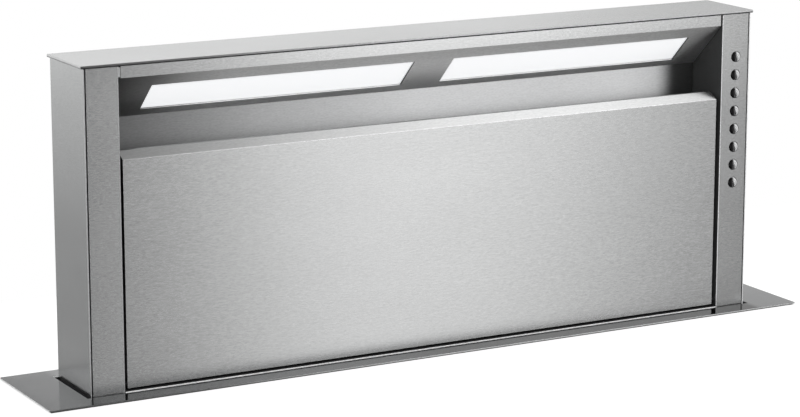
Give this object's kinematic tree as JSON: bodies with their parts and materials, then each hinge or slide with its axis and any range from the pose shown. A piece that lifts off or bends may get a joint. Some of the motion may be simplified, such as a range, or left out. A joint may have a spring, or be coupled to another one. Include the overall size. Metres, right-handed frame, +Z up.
{
  "type": "downdraft vent",
  "caption": "Slim steel downdraft vent that rises out of a worktop, with a lit air intake, a tilting front panel and push buttons, on its lift housing.",
  "frame": {"origin": "under the middle of the unit, at the level of its feet, with the tower raised", "axes": "+X to the right of someone who faces the buttons, +Y to the back, +Z up"},
  "size_m": [0.92, 0.142, 0.9425],
  "materials": {
    "brushed_steel": "stainless steel, brushed lengthways, satin",
    "plate_steel": "stainless steel, fine and glossy enough to mirror the tower",
    "recess_steel": "stainless steel, satin",
    "polished_steel": "polished",
    "zinc_steel": "zinc coated sheet, spangled",
    "dark_steel": "black oxide and dark paint, semi-matt",
    "filter_aluminium": "expanded mesh layers in a bright frame",
    "lamp_glass": "frosted, lit from behind by warm white diodes",
    "black_rubber": "matt",
    "black_plastic": "moulded, fine grain",
    "grey_plastic": "moulded, fine grain",
    "white_board": "white solder mask"
  },
  "bodies": {
    "housing": {"trim_plate": "plate_steel", "rim_tape": "black_rubber", "slot_seal": "black_rubber", "slot_frame": "zinc_steel", "housing_front": "zinc_steel", "housing_rear": "zinc_steel", "housing_right": "zinc_steel", "housing_left": "zinc_steel", "housing_base": "zinc_steel", "duct_spigot": "zinc_steel", "foot_right": "zinc_steel", "foot_left": "zinc_steel", "control_box": "grey_plastic", "cable_gland": "black_plastic", "guide_rail_right": "dark_steel", "guide_rail_left": "dark_steel", "lift_belt_right": "black_rubber", "lift_belt_left": "black_rubber", "idler_bracket_right": "zinc_steel", "idler_bracket_left": "zinc_steel", "shaft_bearing_right": "dark_steel", "shaft_bearing_left": "dark_steel", "lift_gear_motor": "dark_steel"},
    "tower": {"top_cover": "brushed_steel", "end_wall_right": "brushed_steel", "end_wall_left": "brushed_steel", "column_right": "brushed_steel", "column_left": "brushed_steel", "rear_panel": "brushed_steel", "fascia_rail": "brushed_steel", "recess_back_wall": "recess_steel", "bottom_rail": "brushed_steel", "carriage_beam": "zinc_steel", "guide_shoe_right": "black_plastic", "guide_shoe_left": "black_plastic", "light_panel": "recess_steel", "led_strip": "white_board", "light_glass_right": "lamp_glass", "light_glass_left": "lamp_glass", "hinge_pin_right": "polished_steel", "hinge_pin_left": "polished_steel", "panel_magnet_right": "black_plastic", "panel_magnet_left": "black_plastic", "grease_filter_right": "filter_aluminium", "grease_filter_left": "filter_aluminium", "button_carrier": "black_plastic"},
    "front_panel": {"front_panel": "brushed_steel"},
    "button_1": {"button_1": "polished_steel"},
    "button_2": {"button_2": "polished_steel"},
    "button_3": {"button_3": "polished_steel"},
    "button_4": {"button_4": "polished_steel"},
    "button_5": {"button_5": "polished_steel"},
    "button_6": {"button_6": "polished_steel"},
    "button_7": {"button_7": "polished_steel"},
    "button_8": {"button_8": "polished_steel"},
    "drive_shaft": {"drive_shaft": "polished_steel", "drive_pulley_right": "dark_steel", "drive_pulley_left": "dark_steel"},
    "idler_right": {"idler_pulley_right": "dark_steel"},
    "idler_left": {"idler_pulley_left": "dark_steel"}
  },
  "joints": [
    {"name": "tower_lift", "type": "slide", "parent": "housing", "child": "tower", "axis": [0, 0, 1], "range_m": [-0.341, 0]},
    {"name": "panel_tilt", "type": "hinge", "parent": "tower", "child": "front_panel", "pos_m": [0, -0.0376, 0.609], "axis": [1, 0, 0], "range_deg": [0, 45]},
    {"name": "button_1_press", "type": "slide", "parent": "tower", "child": "button_1", "axis": [0, 1, 0], "range_m": [0, 0.0015], "stiffness_N_per_m": 300},
    {"name": "button_2_press", "type": "slide", "parent": "tower", "child": "button_2", "axis": [0, 1, 0], "range_m": [0, 0.0015], "stiffness_N_per_m": 300},
    {"name": "button_3_press", "type": "slide", "parent": "tower", "child": "button_3", "axis": [0, 1, 0], "range_m": [0, 0.0015], "stiffness_N_per_m": 300},
    {"name": "button_4_press", "type": "slide", "parent": "tower", "child": "button_4", "axis": [0, 1, 0], "range_m": [0, 0.0015], "stiffness_N_per_m": 300},
    {"name": "button_5_press", "type": "slide", "parent": "tower", "child": "button_5", "axis": [0, 1, 0], "range_m": [0, 0.0015], "stiffness_N_per_m": 300},
    {"name": "button_6_press", "type": "slide", "parent": "tower", "child": "button_6", "axis": [0, 1, 0], "range_m": [0, 0.0015], "stiffness_N_per_m": 300},
    {"name": "button_7_press", "type": "slide", "parent": "tower", "child": "button_7", "axis": [0, 1, 0], "range_m": [0, 0.0015], "stiffness_N_per_m": 300},
    {"name": "button_8_press", "type": "slide", "parent": "tower", "child": "button_8", "axis": [0, 1, 0], "range_m": [0, 0.0015], "stiffness_N_per_m": 300},
    {"name": "shaft_spin", "type": "hinge", "parent": "housing", "child": "drive_shaft", "pos_m": [0, 0.026, 0.095], "axis": [1, 0, 0], "range_deg": [0, 1299]},
    {"name": "idler_right_spin", "type": "hinge", "parent": "housing", "child": "idler_right", "pos_m": [0.43, 0.026, 0.5715], "axis": [1, 0, 0], "range_deg": [0, 1299]},
    {"name": "idler_left_spin", "type": "hinge", "parent": "housing", "child": "idler_left", "pos_m": [-0.43, 0.026, 0.5715], "axis": [1, 0, 0], "range_deg": [0, 1299]}
  ],
  "couplings": [
    {"joint": "shaft_spin", "follows": "tower_lift", "rad_per_m": -66.445},
    {"joint": "idler_right_spin", "follows": "tower_lift", "rad_per_m": -66.445},
    {"joint": "idler_left_spin", "follows": "tower_lift", "rad_per_m": -66.445}
  ]
}
